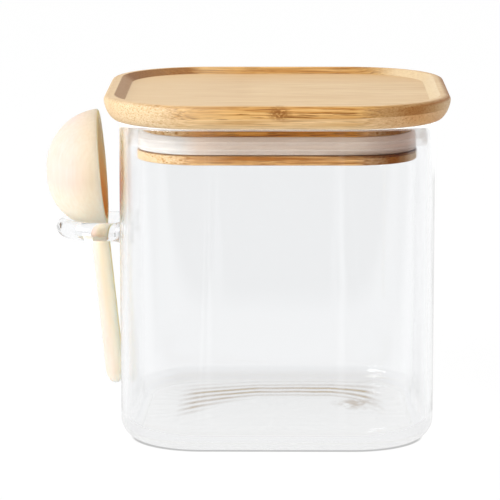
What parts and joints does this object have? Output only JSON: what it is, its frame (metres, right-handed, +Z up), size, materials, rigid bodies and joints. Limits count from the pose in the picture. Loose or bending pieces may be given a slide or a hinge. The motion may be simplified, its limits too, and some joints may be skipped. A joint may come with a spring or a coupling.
{
  "type": "glass storage canister",
  "caption": "Square clear glass storage jar with round corners, a bamboo tray lid with a silicone seal, and a wooden scoop that hangs in a glass loop on its side.",
  "frame": {"origin": "centre of the flat underside of the jar", "axes": "+Z up along the jar, -Y towards the front, -X towards the side that carries the loop and the scoop"},
  "size_m": [0.1297, 0.1094, 0.1104],
  "materials": {
    "clear_glass": "polished, colourless",
    "bamboo": "sanded and oiled, satin",
    "milky_silicone": "soft, milky and slightly see-through",
    "pale_wood": "fine sanded, matt"
  },
  "bodies": {
    "jar": {"jar_body": "clear_glass", "scoop_loop": "clear_glass"},
    "lid": {"lid_board": "bamboo", "lid_plug": "bamboo", "lid_gasket": "milky_silicone"},
    "scoop": {"scoop": "pale_wood"}
  },
  "joints": [
    {"name": "lid_lift", "type": "slide", "parent": "jar", "child": "lid", "axis": [0, 0, 1], "range_m": [0, 0.05]},
    {"name": "scoop_lift", "type": "slide", "parent": "jar", "child": "scoop", "axis": [-0.0981, 0, 0.9952], "range_m": [0, 0.06]}
  ]
}
